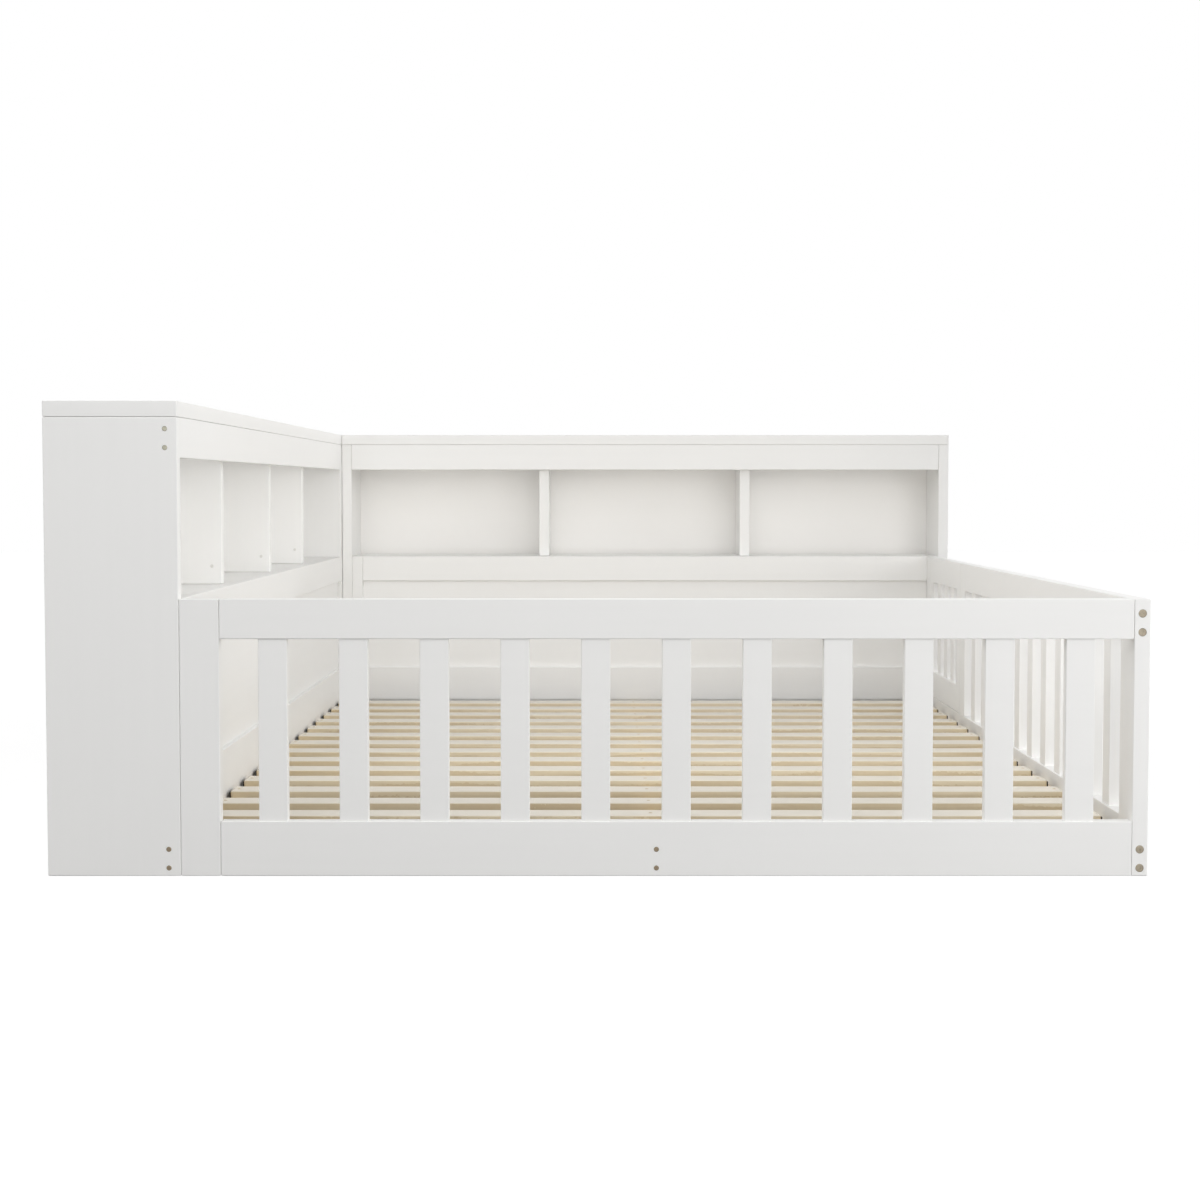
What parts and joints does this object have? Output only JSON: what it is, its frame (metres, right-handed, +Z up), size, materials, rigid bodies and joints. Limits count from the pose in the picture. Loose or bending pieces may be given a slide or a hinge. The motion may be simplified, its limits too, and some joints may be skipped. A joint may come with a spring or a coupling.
{
  "type": "storage daybed",
  "caption": "Low slatted daybed set in an L of open bookcases, closed on its other two sides by a baluster fence with a swing gate and a sliding bolt.",
  "frame": {"origin": "middle of the whole bed's footprint, at floor level", "axes": "+Z up, +Y from the foot of the bed to its head, +X from the long bookcase towards the gate side"},
  "size_m": [1.628, 2.168, 0.6905],
  "materials": {
    "white_paint": "satin white paint on solid wood and board",
    "white_panel": "matt white foil on thin board",
    "pine": "planed, uncoated",
    "nickel": "dull plated"
  },
  "bodies": {
    "frame": {"side_case_front_end_panel": "white_paint", "side_case_rear_end_panel": "white_paint", "side_case_corner_partition": "white_paint", "side_case_top_board": "white_paint", "side_case_apron": "white_paint", "side_case_shelf_board": "white_paint", "side_case_shelf_rail": "white_paint", "side_case_face_panel": "white_paint", "side_case_plinth": "white_paint", "side_case_back_panel": "white_panel", "side_case_divider_1": "white_paint", "side_case_divider_2": "white_paint", "side_case_divider_3": "white_paint", "back_case_left_end_panel": "white_paint", "back_case_right_end_panel": "white_paint", "back_case_top_board": "white_paint", "back_case_apron": "white_paint", "back_case_shelf_board": "white_paint", "back_case_shelf_rail": "white_paint", "back_case_face_panel": "white_paint", "back_case_plinth": "white_paint", "back_case_back_panel": "white_panel", "back_case_divider_1": "white_paint", "back_case_divider_2": "white_paint", "back_case_left_cleat": "white_paint", "back_case_right_cleat": "white_paint", "front_left_post": "white_paint", "front_top_rail": "white_paint", "front_low_rail_and_balusters": "white_paint", "right_front_post": "white_paint", "right_middle_post": "white_paint", "right_rear_post": "white_paint", "right_top_rail": "white_paint", "right_low_rail_and_balusters": "white_paint", "lower_hinge_post_leaf": "nickel", "upper_hinge_post_leaf": "nickel", "latch_keeper": "nickel", "left_ledger": "pine", "right_ledger": "pine", "centre_beam": "pine", "slat_01": "pine", "slat_02": "pine", "slat_03": "pine", "slat_04": "pine", "slat_05": "pine", "slat_06": "pine", "slat_07": "pine", "slat_08": "pine", "slat_09": "pine", "slat_10": "pine", "slat_11": "pine", "slat_12": "pine", "slat_13": "pine", "slat_14": "pine"},
    "gate": {"gate_frame": "white_paint", "lower_hinge_gate_leaf": "nickel", "upper_hinge_gate_leaf": "nickel", "latch_guide": "nickel"},
    "latch_bolt": {"latch_bolt": "nickel"}
  },
  "joints": [
    {"name": "gate_swing", "type": "hinge", "parent": "frame", "child": "gate", "pos_m": [0.7928, 0.83065, 0.25], "axis": [0, 0, 1], "range_deg": [0, 150]},
    {"name": "latch_slide", "type": "slide", "parent": "gate", "child": "latch_bolt", "axis": [0, -1, 0], "range_m": [0, 0.026]}
  ]
}
